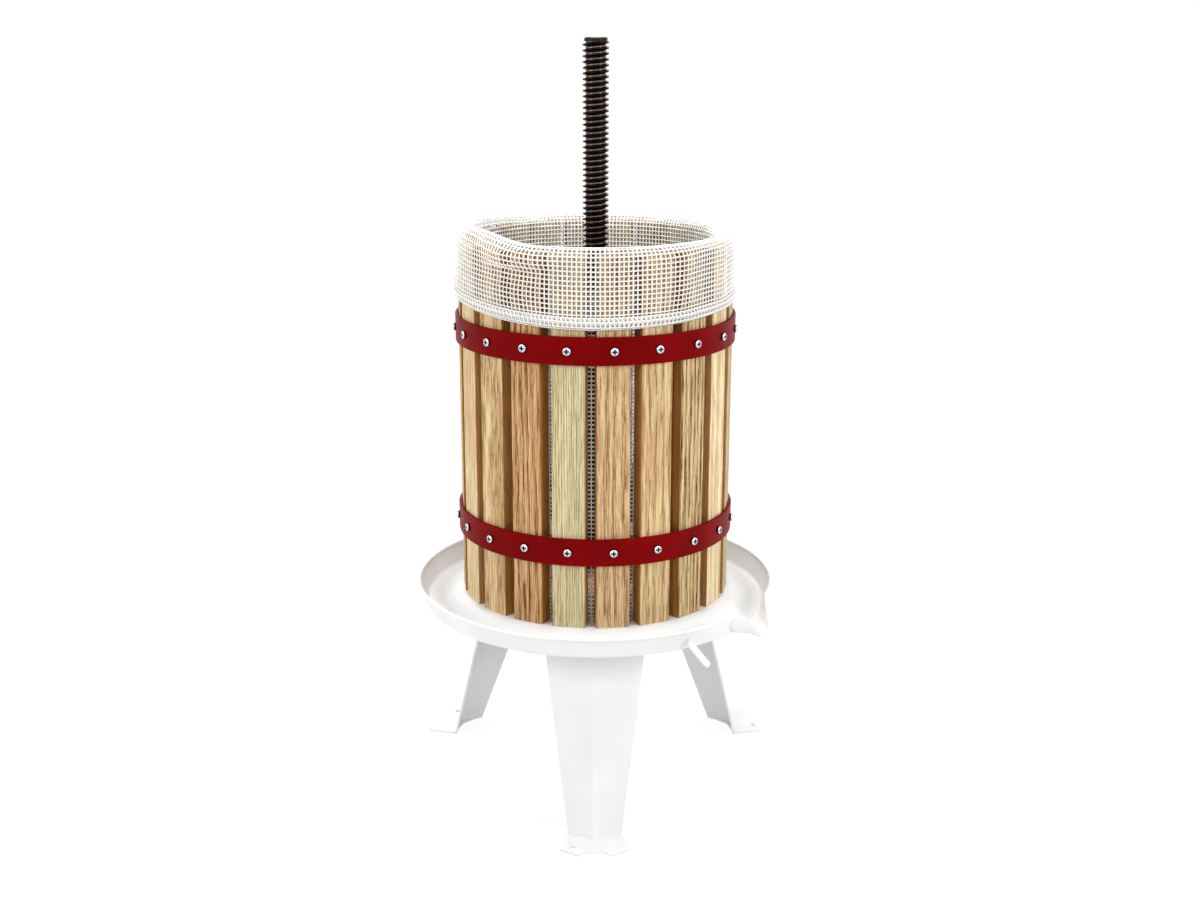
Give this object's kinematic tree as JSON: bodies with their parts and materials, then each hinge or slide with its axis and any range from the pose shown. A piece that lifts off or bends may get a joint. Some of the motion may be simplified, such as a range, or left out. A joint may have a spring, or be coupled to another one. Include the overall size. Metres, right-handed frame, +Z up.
{
  "type": "fruit press",
  "caption": "Hand fruit press: a slatted oak basket with a straining bag on a steel juice tray with a spout and folded legs, and a nut that drives pressing plates down a fixed screw.",
  "frame": {"origin": "on the floor under the spindle, at the centre of the circle through the three foot holes", "axes": "+Z up along the spindle; -Y is the press's front, with one leg; +X is to the right of someone facing the front, the side with the spout"},
  "size_m": [0.349, 0.3645, 0.706],
  "materials": {
    "oak": "plain sawn, unfinished",
    "beech": "plain sawn, unfinished",
    "white_enamel": "gloss",
    "red_enamel": "semi-gloss",
    "zinc_plate": "bright zinc",
    "black_steel": "oiled",
    "black_iron": "painted, satin",
    "black_rubber": "matte",
    "white_net": "square-mesh net"
  },
  "bodies": {
    "stand": {"leg_front": "white_enamel", "leg_right": "white_enamel", "leg_left": "white_enamel", "juice_tray": "white_enamel", "tray_peg": "white_enamel", "hub_plate": "white_enamel", "spindle": "black_steel", "spindle_seal": "black_rubber", "spindle_collar": "black_steel", "anchor_washer": "zinc_plate", "anchor_nut": "zinc_plate", "straining_bag": "white_net"},
    "basket": {"stave_01": "oak", "stave_02": "oak", "stave_03": "oak", "stave_04": "oak", "stave_05": "oak", "stave_06": "oak", "stave_07": "oak", "stave_08": "oak", "stave_09": "oak", "stave_10": "oak", "stave_11": "oak", "stave_12": "oak", "stave_13": "oak", "stave_14": "oak", "stave_15": "oak", "stave_16": "oak", "stave_17": "oak", "stave_18": "oak", "stave_19": "oak", "stave_20": "oak", "hoop_lower": "red_enamel", "hoop_upper": "red_enamel", "hoop_screws_lower": "zinc_plate", "hoop_screws_upper": "zinc_plate", "bag_cuff": "white_net"},
    "press_plates": {"press_plate_front": "beech", "press_plate_back": "beech", "press_block_left": "beech", "press_block_right": "beech"},
    "press_nut": {"press_nut": "black_iron"}
  },
  "joints": [
    {"name": "basket_lift", "type": "slide", "parent": "stand", "child": "basket", "axis": [0, 0, 1], "range_m": [0, 0.065]},
    {"name": "press_travel", "type": "slide", "parent": "stand", "child": "press_plates", "axis": [0, 0, 1], "range_m": [0, 0.39]},
    {"name": "nut_turn", "type": "hinge", "parent": "press_plates", "child": "press_nut", "pos_m": [0, 0, 0.2625], "axis": [0, 0, 1], "range_deg": [0, 28080]}
  ],
  "couplings": [
    {"joint": "press_travel", "follows": "nut_turn", "m_per_rad": 0.00079577}
  ]
}
